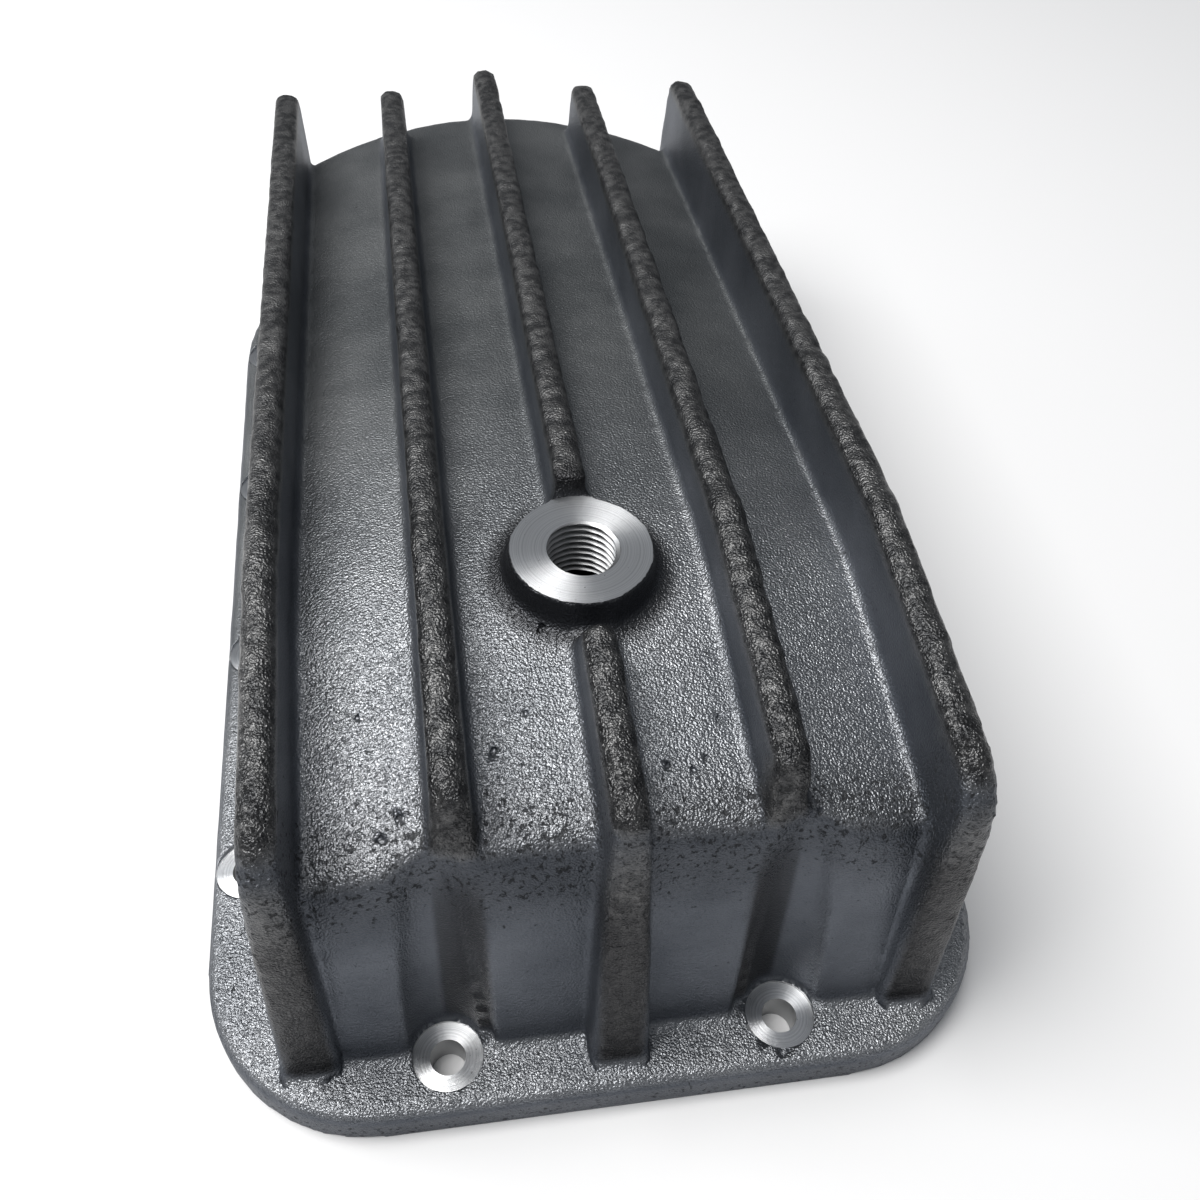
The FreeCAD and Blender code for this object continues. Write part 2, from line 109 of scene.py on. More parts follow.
# Works the modifiers in, so that the object's mesh is plain data again.
def settled(obj):
    graph = bpy.context.evaluated_depsgraph_get()
    mesh = bpy.data.meshes.new_from_object(obj.evaluated_get(graph))
    obj.modifiers.clear()
    old = obj.data
    obj.data = mesh
    bpy.data.meshes.remove(old)
    return obj


def cutWith(obj, name, bm):
    tool = newObject(name, meshFromBmesh(name, bm))
    cut = obj.modifiers.new(name, "BOOLEAN")
    cut.operation = "DIFFERENCE"
    cut.solver = "MANIFOLD"
    cut.object = tool
    settled(obj)
    bpy.data.objects.remove(tool)


# A closed cylinder or cone, added to a bmesh.
def cylinder(bm, x, y, low, high, radius, topRadius=None):
    top = radius if topRadius is None else topRadius
    place = Matrix.Translation(Vector((x, y, (low + high) / 2)) * mm)
    bmesh.ops.create_cone(bm, cap_ends=True, segments=96, radius1=radius * mm, radius2=top * mm,
                          depth=(high - low) * mm, matrix=place)


machining = {
    "flangeTop": 8.0,
    "spotDepth": 0.8,
    "spotRadius": 6.45,
    "holeRadius": 3.25,
    "nearHoles": (31.0, -133.9),
    "farHoles": (31.0, 128.808),
    "sideX": 68.0,
    "sideY": (-91.4, -35.2, 21.0, 77.2),
    "drain": (0.0, -72.2),
    "drainFace": 73.35,
    "drainInnerFace": 61.0,
    "drainRadius": 13.0,
    "drainCutOver": 0.25,  # how far the facing cut runs past the boss
    "drainCutHeight": 9.0,
    "cutHeights": (-2.0, 12.0),  # from where to where the screw holes are cut
    "around": 128,
}


def holePlaces():
    places = []
    for name in ("nearHoles", "farHoles"):
        x, y = machining[name]
        places += [(-x, y), (x, y)]
    for y in machining["sideY"]:
        places += [(-machining["sideX"], y), (machining["sideX"], y)]
    return places


# The fins' top line falls both ways from its peak beside the drain.
fins = {
    "places": (0.0, 26.7, 55.3),
    "peak": 78.4,
    "peakY": -72.2,
    "nearFall": 0.1104,
    "farFall": 0.0480,
    # How much thicker each side stands at the top and, this far below it, at the foot.
    "topExtra": 0.55,
    "footExtra": 1.9,
    "footDepth": 62.0,
    # Off a fin's middle the extra grows over the first width and fades out over the range after it.
    "core": 2.0,
    "skinFade": (3.2, 6.0),
    # The centre fin's far part runs on to the drain's rim: the block's size, and its middle past the drain.
    "endBlock": (4.4, 6.6, 15.2),
    "endBlockPast": 16.9,
    "endBlockHeight": 69.6,
}


def finTopHeight(y):
    past = y - fins["peakY"]
    return np.minimum(fins["peak"] + past * fins["nearFall"], fins["peak"] - past * fins["farFall"])


# How far a place is, across the pan, from the middle of the nearest fin.
def finDistance(x):
    return np.minimum.reduce([abs(abs(x) - place) for place in fins["places"]])


# The skin half way through the walls and the floor, which parts the outside from the hollow.
cavity = {
    "halfLength": 144.0,
    "wallGap": 11.3,
    "wallLean": 0.1673,
    "halfWall": 2.5,
    "halfWidth": 56.6,
    "arcRadius": 95.7,
    "roof": 66.0,
    "roofY": -72.0,
    "roofCrown": 0.0021,
    "farSlope": 0.0734,
    "nearSlope": 0.158,
}


def insideCavity(x, y, z):
    lean = (z - machining["flangeTop"]) * cavity["wallLean"]
    near = -cavity["halfLength"] + cavity["wallGap"] + lean + cavity["halfWall"]
    far = cavity["halfLength"] - cavity["wallGap"] - lean - cavity["halfWall"]
    radius = cavity["arcRadius"]
    arc = far - max(0.0, radius - math.sqrt(max(0.0, radius ** 2 - x ** 2)))
    past = y - cavity["roofY"]
    fall = max(0.0, past * cavity["farSlope"], -past * cavity["nearSlope"])
    roof = cavity["roof"] - cavity["roofCrown"] * x * x - fall
    return near < y < arc and abs(x) < cavity["halfWidth"] and z < roof


# The scallops over the near and far screws lean with the end walls and run out through the rim.
flute = {
    "radius": 7.3,
    "lean": 5.7,
    "height": 84.0,
    "around": 64,
}


def openFlutes(obj):
    bm = bmesh.new()
    radius = flute["radius"] * mm
    for (side, y), lean in ((machining["nearHoles"], 1), (machining["farHoles"], -1)):
        for x in (-side, side):
            turn = Matrix.Translation(Vector((x, y, machining["flangeTop"])) * mm)
            turn @= Matrix.Rotation(-lean * math.radians(flute["lean"]), 4, "X")
            turn @= Matrix.Translation((0, 0, flute["height"] / 2 * mm))
            bmesh.ops.create_cone(bm, cap_ends=True, segments=flute["around"], radius1=radius,
                                  radius2=radius, depth=flute["height"] * mm, matrix=turn)
    cutWith(obj, "flutes", bm)


blankSizes = {
    "voxel": 1.0,
    "quickVoxel": 1.8,
    "gasketStock": 1.0,
    "drainStock": 0.8,
    "fillerOver": 0.3,  # how far a filled screw hole reaches past its spot face
    "drainInset": 0.3,  # the drain's stock starts inside the boss and flares to just over its rim
    "drainFlare": 0.05,
    "tuck": 0.02,  # how far fillers stay clear of the faces that they lie behind
    "gasketReach": 0.01,
    "weld": 1e-6,
}


# One closed skin of even squares.
def evenOut(obj):
    remesh = obj.modifiers.new("even", "REMESH")
    remesh.mode = "VOXEL"
    remesh.voxel_size = blankSizes["voxel"] * mm
    remesh.use_smooth_shade = True
    return settled(obj)


# The holes are filled and the drain's face gets stock, because both are machined later.
def fillForMachining(bm):
    stock, tuck = blankSizes["gasketStock"], blankSizes["tuck"]
    for vertex in bm.verts:
        if vertex.co.z < blankSizes["gasketReach"] * mm:
            vertex.co.z = -stock * mm
    for x, y in holePlaces():
        cylinder(bm, x, y, -stock / 2, machining["flangeTop"] - tuck,
                 machining["spotRadius"] + blankSizes["fillerOver"])
    x, y = machining["drain"]
    radius = machining["drainRadius"]
    cylinder(bm, x, y, machining["drainInnerFace"] + tuck, machining["drainFace"] + blankSizes["drainStock"],
             radius - blankSizes["drainInset"], topRadius=radius + blankSizes["drainFlare"])


def extendCentreFin(bm):
    x, y = machining["drain"]
    place = Matrix.Translation(Vector((x, y + fins["endBlockPast"], fins["endBlockHeight"])) * mm)
    width, length, height = fins["endBlock"]
    place @= Matrix.Diagonal((width * mm, length * mm, height * mm, 1.0))
    bmesh.ops.create_cube(bm, size=1.0, matrix=place)


# The casting as it leaves the mould: the solid's own form, evened into one skin.
def castBlank():
    bm = bmesh.new()
    bm.from_mesh(node.data)
    bm.transform(node.matrix_world)
    bmesh.ops.remove_doubles(bm, verts=bm.verts, dist=blankSizes["weld"])
    fillForMachining(bm)
    extendCentreFin(bm)
    blank = evenOut(newObject("oilPan", meshFromBmesh("oilPan", bm)))
    openFlutes(blank)
    return evenOut(blank)


blank = castBlank()
step(f"blank has {len(blank.data.polygons)} faces")


rounding = {
    # A vertex this far out of its neighbours' plane is at a corner.
    "bend": 0.10,
    "slightBend": 0.02,
    "aboveFlange": 8.6,
    "finWidth": 3.4,
    "rimY": -112.0,
    "rimZ": 40.0,
    "farTipY": 112.0,
    # How far below the top line the tips' rounding reaches.
    "farTipDepth": 9.0,
    "nearTipDepth": 12.0,
    # How many vertices each mask grows by, and the rounds of smoothing for inner corners, outer
    # corners, the plate's near edge, and the fins' tips.
    "rootSpread": 2,
    "edgeSpread": 1,
    "nearEdgeSpread": 3,
    "factor": 0.5,
    "rootRounds": 6,
    "edgeRounds": 4,
    "nearEdgeRounds": 26,
    "tipRounds": 12,
}


# Grows a mask of vertices over the neighbouring ones.
def spread(mask, pairs, times):
    for _ in range(times):
        wide = mask.copy()
        wide[pairs[:, 0]] |= mask[pairs[:, 1]]
        wide[pairs[:, 1]] |= mask[pairs[:, 0]]
        mask = wide
    return mask


def smoothWhere(obj, name, mask):
    group = obj.vertex_groups.new(name=name)
    group.add(np.nonzero(mask)[0].tolist(), 1.0, "REPLACE")
    smooth = obj.modifiers.new(name, "SMOOTH")
    smooth.factor = rounding["factor"]
    smooth.iterations = rounding[name + "Rounds"]
    smooth.vertex_group = name
    settled(obj)
    obj.vertex_groups.clear()


def vertexPlaces(mesh):
    places = np.empty(len(mesh.vertices) * 3)
    mesh.vertices.foreach_get("co", places)
    return places.reshape(-1, 3) / mm


# How far each vertex lies inside its neighbours' middle: above nought in a root, below it on a crest.
def bendOf(mesh, places, pairs):
    normals = np.array([vertex.normal[:] for vertex in mesh.vertices])
    total = np.zeros((len(places), 3))
    number = np.zeros(len(places))
    for a, b in ((0, 1), (1, 0)):
        np.add.at(total, pairs[:, a], places[pairs[:, b]])
        np.add.at(number, pairs[:, a], 1.0)
    return np.einsum("ij,ij->i", total / number[:, None] - places, normals)


# Rounds the cast corners: the fins' roots and crests a little, the plate's near edge widely.
def roundCorners(obj):
    mesh = obj.data
    places = vertexPlaces(mesh)
    pairs = np.empty(len(mesh.edges) * 2, dtype=np.int64)
    mesh.edges.foreach_get("vertices", pairs)
    pairs = pairs.reshape(-1, 2)
    bend = bendOf(mesh, places, pairs)
    x, y, z = places.T
    outside = (z > rounding["aboveFlange"]) & ~np.array([insideCavity(*place) for place in places])
    onFin = finDistance(x) < rounding["finWidth"]
    roots = spread((bend > rounding["bend"]) & outside, pairs, rounding["rootSpread"])
    crests = spread((bend < -rounding["bend"]) & outside, pairs, rounding["edgeSpread"]) & ~roots
    nearRim = (y < rounding["rimY"]) & (z > rounding["rimZ"]) & outside & (bend < -rounding["slightBend"])
    nearEdge = spread(nearRim & ~onFin, pairs, rounding["nearEdgeSpread"]) & ~onFin
    depth = finTopHeight(y) - z
    farTips = (y > rounding["farTipY"]) & (depth < rounding["farTipDepth"])
    nearTips = (y < rounding["rimY"]) & (depth < rounding["nearTipDepth"]) & onFin
    smoothWhere(obj, "root", roots)
    smoothWhere(obj, "edge", crests & ~nearEdge)
    smoothWhere(obj, "nearEdge", nearEdge)
    smoothWhere(obj, "tip", crests & (farTips | nearTips))


# Thickens the fins towards their feet, fading out on the skin beside them.
def widenFins(obj):
    inner, outer = fins["skinFade"]
    middles = [sign * place for place in fins["places"] for sign in (-1, 1)]
    for vertex in obj.data.vertices:
        x, y, z = (c / mm for c in vertex.co)
        away = finDistance(x)
        if z < machining["flangeTop"] + 0.2 or away > outer or insideCavity(x, y, z):
            continue
        centre = min(middles, key=lambda middle: abs(x - middle))
        depth = min(1.0, max(0.0, (finTopHeight(y) - z) / fins["footDepth"]))
        extra = fins["topExtra"] + (fins["footExtra"] - fins["topExtra"]) * depth
        share = min(1.0, away / fins["core"]) * min(1.0, max(0.0, (outer - away) / (outer - inner)))
        vertex.co.x += math.copysign(extra * share * mm, x - centre)
    obj.data.update()


lumps = {
    "skinLump": 0.10,
    "skinLumpSize": 7.0,
    "finTopLump": 0.42,
    "finTopLumpSize": 5.0,
    "fineLump": 0.45,
    "fineLumpSize": 1.9,
    "finTopSquash": 0.6,
    "finTopDepth": 3.5,
    "finTopWidth": 3.6,
    "lumpSeed": (31.0, 7.0, 3.0),
    "fineSeed": (5.0, 17.0, 9.0),
    # Above the gasket face the lumps begin here and reach their full height over this length.
    "start": 1.2,
    "ease": 3.0,
}


# The lumps along a fin's top, strongest on its crest.
def finTopPush(x, y, z, depth):
    place = Vector((x, y, z * lumps["finTopSquash"])) / lumps["finTopLumpSize"]
    lump = noise.noise(place + Vector(lumps["lumpSeed"]))
    fine = noise.noise(Vector((x, y, z)) / lumps["fineLumpSize"] + Vector(lumps["fineSeed"]))
    share = 1.0 - depth / lumps["finTopDepth"] if depth > 0 else 1.0
    return lumps["finTopLump"] * (lump + lumps["fineLump"] * fine) * share


# Pushes the cast skin in and out: faint waves all over, and lumps along the fins' tops.
def roughen(obj):
    mesh = obj.data
    normals = [vertex.normal.copy() for vertex in mesh.vertices]
    for vertex, normal in zip(mesh.vertices, normals):
        x, y, z = (c / mm for c in vertex.co)
        if z < lumps["start"] or insideCavity(x, y, z):
            continue
        ease = min(1.0, (z - lumps["start"]) / lumps["ease"])
        push = lumps["skinLump"] * noise.noise(Vector((x, y, z)) / lumps["skinLumpSize"])
        depth = finTopHeight(y) - z
        if depth < lumps["finTopDepth"] and finDistance(x) < lumps["finTopWidth"]:
            push += finTopPush(x, y, z, depth)
        vertex.co = vertex.co + normal * (push * ease * mm)
    mesh.update()


triangleTarget = 160000


# Drops triangles where the skin is smooth, mostly inside and underneath.
def thinOut(obj):
    faces = sum(len(polygon.vertices) - 2 for polygon in obj.data.polygons)
    thin = obj.modifiers.new("thin", "DECIMATE")
    thin.ratio = min(1.0, triangleTarget / faces)
    settled(obj)


roundCorners(blank)
widenFins(blank)
roughen(blank)
thinOut(blank)
step(f"roughened and thinned to {len(blank.data.polygons)} faces")


gasketCut = (400.0, 600.0, 10.0)


# Mills the gasket face flat at z = 0.
def faceGasket(obj):
    bm = bmesh.new()
    width, length, depth = (size * mm for size in gasketCut)
    place = Matrix.Translation((0, 0, -depth / 2)) @ Matrix.Diagonal((width, length, depth, 1))
    bmesh.ops.create_cube(bm, size=1.0, matrix=place)
    cutWith(obj, "gasketCut", bm)


# Gas pits seen in the cast skin: place across, place along, and radius.
pits = [
    (-19.0, -106.0, 0.75), (-35.0, -115.0, 0.7), (-38.0, -118.0, 0.85), (9.0, -112.0, 0.6),
    (13.0, -113.0, 0.7), (15.5, -111.0, 0.5), (-13.0, -100.0, 0.55), (33.0, -121.0, 0.6),
    (-8.5, -84.5, 0.8), (-41.0, -96.0, 0.5), (19.0, -104.0, 0.45), (30.0, -141.2, 0.95),
]
pitShape = {
    "rise": 0.15,  # the ball's middle over the skin, as a share of its radius
    "uneven": 0.7,
    "unevenSize": 1.1,
    "seedStep": 9.0,
    "rayFrom": 200.0,
}


# Small uneven balls cut out where a ray from above meets the skin.
def openPits(obj):
    bm = bmesh.new()
    for number, (x, y, radius) in enumerate(pits):
        found, place, _, _ = obj.ray_cast(Vector((x, y, pitShape["rayFrom"])) * mm, Vector((0, 0, -1)))
        if not found:
            continue
        turn = Matrix.Translation(place + Vector((0, 0, pitShape["rise"] * radius * mm)))
        ball = bmesh.ops.create_icosphere(bm, subdivisions=2, radius=radius * mm, matrix=turn)
        for vertex in ball["verts"]:
            spot = vertex.co / mm / (radius * pitShape["unevenSize"])
            spot.x += number * pitShape["seedStep"]
            vertex.co += (vertex.co - place) * noise.noise(spot) * pitShape["uneven"]
    cutWith(obj, "pits", bm)


# A closed turned shape from (height, radius) rows. A radius may be a function of height and angle.
def lathe(bm, x, y, rows, around):
    rings = []
    for z, radius in rows:
        ring = []
        for i in range(around):
            angle = 2 * math.pi * i / around
            r = radius(z, angle) if callable(radius) else radius
            ring.append(bm.verts.new(Vector((x + r * math.cos(angle), y + r * math.sin(angle), z)) * mm))
        rings.append(ring)
    for lower, upper in zip(rings, rings[1:]):
        for i in range(around):
            j = (i + 1) % around
            bm.faces.new((lower[i], lower[j], upper[j], upper[i]))
    bm.faces.new(list(reversed(rings[0])))
    bm.faces.new(rings[-1])


# A right-handed thread of about 60 degrees. The flats at root and crest are shares of half a pitch.
thread = {
    "crestRadius": 6.2,
    "rootRadius": 7.05,
    "pitch": 1.5,
    "crestFlat": 0.16,
    "flank": 0.62,
    "around": 96,
    "rowHeight": 0.125,
    "quickRowHeight": 0.25,
    "runOut": 2.0,
}


# The wall of the tapped hole at a height and an angle.
def threadRadius(z, angle):
    turn = (z - machining["drainFace"]) / thread["pitch"] - angle / (2 * math.pi)
    share = abs((turn % 1.0) - 0.5) * 2
    depth = min(1.0, max(0.0, (share - thread["crestFlat"]) / thread["flank"]))
    return thread["crestRadius"] + depth * (thread["rootRadius"] - thread["crestRadius"])


# Cuts the spot faces, the screw holes, the drain's face and its thread, as the real machining does.
def machine(obj):
    bm = bmesh.new()
    spotFloor = machining["flangeTop"] - machining["spotDepth"]
    hole, spot = machining["holeRadius"], machining["spotRadius"]
    low, high = machining["cutHeights"]
    for x, y in holePlaces():
        rows = [(low, hole), (spotFloor, hole), (spotFloor, spot), (high, spot)]
        lathe(bm, x, y, rows, machining["around"])
    x, y = machining["drain"]
    face = machining["drainFace"]
    low = machining["drainInnerFace"] - thread["runOut"]
    count = int((face - low) / thread["rowHeight"])
    rows = [(low + (face - low) * i / count, threadRadius) for i in range(count + 1)]
    cutRadius = machining["drainRadius"] + machining["drainCutOver"]
    rows += [(face, cutRadius), (face + machining["drainCutHeight"], cutRadius)]
    lathe(bm, x, y, rows, thread["around"])
    cutWith(obj, "turnedCuts", bm)


before = len(blank.data.polygons)
faceGasket(blank)
openPits(blank)
machine(blank)
step(f"machined, {before} faces became {len(blank.data.polygons)}")


# A face is machined when it lies this close to where the cutter ran.
marks = {
    "close": 0.02,
    "drainFrom": 20.0,  # what is higher belongs to the drain, and the rest to the screw holes
    "drainOver": 1.5,
    "boreUnder": 1.0,
    "spotOver": 0.05,
}


# Gives machined faces their own material slot, and every corner its place about the nearest hole.
def markMachined(obj):
    mesh = obj.data
    mesh.materials.clear()
    spots = [(x, y, machining["spotRadius"]) for x, y in holePlaces()]
    drain = (*machining["drain"], machining["drainRadius"])
    turned = mesh.uv_layers.new(name="turned")
    spotFloor = machining["flangeTop"] - machining["spotDepth"]
    face = machining["drainFace"]
    boreFoot = machining["drainInnerFace"] - marks["boreUnder"]
    close = marks["close"]
    for polygon in mesh.polygons:
        x, y, z = (c / mm for c in polygon.center)
        near = drain
        if z <= marks["drainFrom"]:
            near = min(spots, key=lambda spot: math.hypot(x - spot[0], y - spot[1]))
        radius = math.hypot(x - near[0], y - near[1])
        if near is drain:
            flat = abs(z - face) < close and radius < near[2] + marks["drainOver"]
            wall = radius < thread["rootRadius"] + close and z > boreFoot
        else:
            flat = abs(z - spotFloor) < close and radius < near[2] + marks["spotOver"]
            wall = radius < near[2] + close and z < machining["flangeTop"]
        polygon.material_index = 1 if flat else 2 if wall else 0
        polygon.use_smooth = polygon.material_index == 0
        for corner in polygon.loop_indices:
            co = mesh.vertices[mesh.loops[corner].vertex_index].co / mm
            turned.data[corner].uv = (co.x - near[0], co.y - near[1])


markMachined(blank)
step("machined faces are marked")


# Where each mask begins and where it is full. Places along the pan are measured towards the near end,
# and how level or how upright a face is comes from its normal.
fades = {
    "level": (0.45, 0.92),
    "nearness": (-5.0, 100.0),
    "nearWall": (112.0, 122.0),
    "outerFronts": (127.0, 131.0),
    "midFronts": (116.0, 119.0),
    "aboveFlange": (8.5, 11.0),
    "midFrontFoot": (58.0, 61.0),
    "midFrontSide": (3.4, 4.4),
    "finSide": (3.2, 4.4),
    "belowCrest": (1.6, 4.0),
    "rimHeight": (38.0, 54.0),
    "rimPlace": (108.0, 120.0),
    "bossSide": (15.5, 19.0),
    "bossHeight": (60.0, 63.0),
    "legPlace": (116.0, 126.0),
    "legHeight": (44.0, 66.0),
    "legSide": (3.6, 5.0),
    "legFoot": (8.6, 10.0),
    "edgeHeight": (5.0, 7.2),
    "edgeLean": (0.1, 0.6),
}
edgePitting = 0.8
gasketClear = 0.05


def fadeIn(value, name):
    low, high = fades[name]
    share = np.clip((value - low) / (high - low), 0.0, 1.0)
    return share * share * (3.0 - 2.0 * share)


def fadeOut(value, name):
    return 1.0 - fadeIn(value, name)


# Where the skin differs: level faces, fin tops, the near part (a painted highlight in colour, and glossier
# and coarser), pitted strips, and dark corners of painted shade at the boss's side and the fins' legs.
def paintMasks(mesh):
    x, y, z = vertexPlaces(mesh).T
    up = np.array([vertex.normal.z for vertex in mesh.vertices])
    fin = finDistance(x)
    outerEnds = fadeIn(-y, "nearWall") * fadeIn(z, "aboveFlange") * fadeIn(-y, "outerFronts")
    midSide = fadeOut(abs(abs(x) - fins["places"][1]), "midFrontSide")
    midEnds = midSide * fadeIn(-y, "midFronts") * fadeIn(z, "midFrontFoot")
    tops = np.maximum(fadeOut(finTopHeight(y) - z, "belowCrest"), np.maximum(outerEnds, midEnds))
    rim = fadeIn(z, "rimHeight") * fadeIn(-y, "rimPlace")
    drainX, drainY = machining["drain"]
    # Painted shade: the boss's side and the fins' legs at the near end are darkened in colour through this
    # mask.
    boss = fadeOut(np.hypot(x - drainX, y - drainY), "bossSide") * fadeIn(z, "bossHeight")
    legs = fadeIn(-y, "legPlace") * fadeOut(z, "legHeight") * fadeOut(fin, "legSide") * fadeIn(z, "legFoot")
    edgeWall = fadeOut(z, "edgeHeight") * fadeOut(up, "edgeLean") * (z > gasketClear)
    masks = {
        "level": fadeIn(up, "level"),
        "finTop": fadeOut(fin, "finSide") * tops,
        "nearness": fadeIn(-y, "nearness"),
        "pitted": np.maximum(rim, edgePitting * edgeWall),
        "paintedShade": np.maximum(boss, legs),
        "hidden": np.array([1.0 if insideCavity(*place) else 0.0 for place in zip(x, y, z)]),
    }
    for name, values in masks.items():
        mesh.attributes.new(name, "FLOAT", "POINT").data.foreach_set("value", values.astype(np.float32))


paintMasks(blank.data)
step("masks are painted")


def nodeGroup(name, inputs, outputs):
    group = bpy.data.node_groups.new(name, "ShaderNodeTree")
    for label, kind, value in inputs:
        socket = group.interface.new_socket(label, in_out="INPUT", socket_type=kind)
        socket.default_value = value
    for label, kind in outputs:
        group.interface.new_socket(label, in_out="OUTPUT", socket_type=kind)
    return group, group.nodes.new("NodeGroupInput"), group.nodes.new("NodeGroupOutput")


# A math node. Each operand is a socket or a number.
def mathNode(tree, operation, a, b=None, c=None):
    made = tree.nodes.new("ShaderNodeMath")
    made.operation = operation
    for slot, value in enumerate((a, b, c)):
        if value is None:
            continue
        if isinstance(value, (int, float)):
            made.inputs[slot].default_value = value
        else:
            tree.links.new(value, made.inputs[slot])
    return made.outputs[0]


def noiseNode(tree, place, scale, detail=2.0, roughness=0.5):
    made = tree.nodes.new("ShaderNodeTexNoise")
    made.inputs["Scale"].default_value = scale
    made.inputs["Detail"].default_value = detail
    made.inputs["Roughness"].default_value = roughness
    tree.links.new(place, made.inputs["Vector"])
    return made.outputs["Fac"]


def rangeNode(tree, value, low, high, toLow=0.0, toHigh=1.0):
    made = tree.nodes.new("ShaderNodeMapRange")
    for label, number in (("From Min", low), ("From Max", high), ("To Min", toLow), ("To Max", toHigh)):
        made.inputs[label].default_value = number
    tree.links.new(value, made.inputs["Value"])
    return made.outputs["Result"]


def colourMix(tree, share, first, second):
    made = tree.nodes.new("ShaderNodeMix")
    made.data_type = "RGBA"
    for label, value in (("Factor", share), ("A", first), ("B", second)):
        socket = next(s for s in made.inputs if s.name == label and (label == "Factor" or s.type == "RGBA"))
        if isinstance(value, tuple):
            socket.default_value = (*value, 1.0)
        else:
            tree.links.new(value, socket)
    return next(s for s in made.outputs if s.type == "RGBA")


def millimetres(tree):
    place = tree.nodes.new("ShaderNodeTexCoord")
    scale = tree.nodes.new("ShaderNodeVectorMath")
    scale.operation = "SCALE"
    scale.inputs["Scale"].default_value = 1 / mm
    tree.links.new(place.outputs["Object"], scale.inputs[0])
    return scale.outputs[0]


def bumpNode(tree, height, strength, distance):
    made = tree.nodes.new("ShaderNodeBump")
    made.inputs["Distance"].default_value = distance
    if isinstance(strength, float):
        made.inputs["Strength"].default_value = strength
    else:
        tree.links.new(strength, made.inputs["Strength"])
    tree.links.new(height, made.inputs["Height"])
    return made.outputs["Normal"]


# Noise scales per millimetre, each with its detail and roughness.
grain = {
    "grit": (2.5, 1.0, 0.5),
    "tone": (0.040, 4.0, 0.55),
    "blotch": (0.95, 3.0, 0.62),
    "lump": (0.42, 2.0, 0.5),
    "pebbleDepth": -0.45,
    # A blotch over this level is a pit, over a lower one where the skin is pitted.
    "pitLevel": 0.675,
    "pittedDrop": -0.115,
    "pitEdge": 0.07,
}


# Sand-cast grain as a height, broad clouds of tone, dark pits, and lumps.
def grainGroup():
    group, source, result = nodeGroup(
        "castGrain",
        [("Pebble scale", "NodeSocketFloat", 1.0), ("Pitted", "NodeSocketFloat", 0.0)],
        [("Height", "NodeSocketFloat"), ("Tone", "NodeSocketFloat"), ("Pit", "NodeSocketFloat"),
         ("Lump", "NodeSocketFloat")])
    place = millimetres(group)
    pebbles = group.nodes.new("ShaderNodeTexVoronoi")
    pebbles.feature = "F1"
    group.links.new(place, pebbles.inputs["Vector"])
    group.links.new(source.outputs["Pebble scale"], pebbles.inputs["Scale"])
    grit = noiseNode(group, place, *grain["grit"])
    height = mathNode(group, "MULTIPLY_ADD", pebbles.outputs["Distance"], grain["pebbleDepth"], grit)
    tone = noiseNode(group, place, *grain["tone"])
    blotch = noiseNode(group, place, *grain["blotch"])
    need = mathNode(group, "MULTIPLY_ADD", source.outputs["Pitted"], grain["pittedDrop"], grain["pitLevel"])
    pit = rangeNode(group, mathNode(group, "SUBTRACT", blotch, need), 0.0, grain["pitEdge"])
    lump = noiseNode(group, place, *grain["lump"])
    for label, value in (("Height", height), ("Tone", tone), ("Pit", pit), ("Lump", lump)):
        group.links.new(value, result.inputs[label])
    return group


castGrain = grainGroup()


def material(name):
    made = bpy.data.materials.new(name)
    made.use_nodes = True
    tree = made.node_tree
    return made, tree, tree.nodes["Principled BSDF"]


def maskNode(tree, name):
    made = tree.nodes.new("ShaderNodeAttribute")
    made.attribute_name = name
    return made.outputs["Fac"]


# Each pair of colours is mixed by the clouds of tone or, on the fins' tops, by the lumps.
castSkin = {
    # The sides' colour is darker and bluer than the plate's: painted shade on upright faces.
    "side": ((0.092, 0.102, 0.120), (0.142, 0.154, 0.176)),
    "farPlate": ((0.125, 0.133, 0.138), (0.195, 0.203, 0.207)),
    # The near plate's brighter colour is a painted highlight.
    "highlightedNearPlate": ((0.25, 0.26, 0.275), (0.34, 0.35, 0.365)),
    "finTop": ((0.058, 0.059, 0.061), (0.136, 0.136, 0.136)),
    # One dark colour for the painted shade on the boss's side and the fins' legs, and for the darkened
    # pitted strips.
    "shadeAndPitting": (0.018, 0.018, 0.020),
    "pit": (0.030, 0.031, 0.033),
    "toneRange": (0.36, 0.64),
    "lumpRange": (0.38, 0.62),
    # How far the painted shade darkens the boss's side and the fins' legs.
    "paintedShadeShare": 0.80,
    "pittedShare": 0.28,
    "pitShare": 0.72,
    "metallic": 0.9,
    "roughness": 0.50,
    "brightRoughness": 0.30,
    "pitRoughness": 0.30,
    "pebbleScale": 2.1,
    # How much of the relief shows: at the least, towards the near end, on pitted strips, on the sides
    # and inside. Then how deep a pit and how high a lump stands in it.
    "relief": 0.45,
    "nearRelief": 0.35,
    "pittedRelief": 0.95,
    "sideRelief": 0.62,
    "insideRelief": 0.7,
    "pitDepth": -0.9,
    "lumpHeight": 1.6,
    "bumpDistance": 0.00042,
}
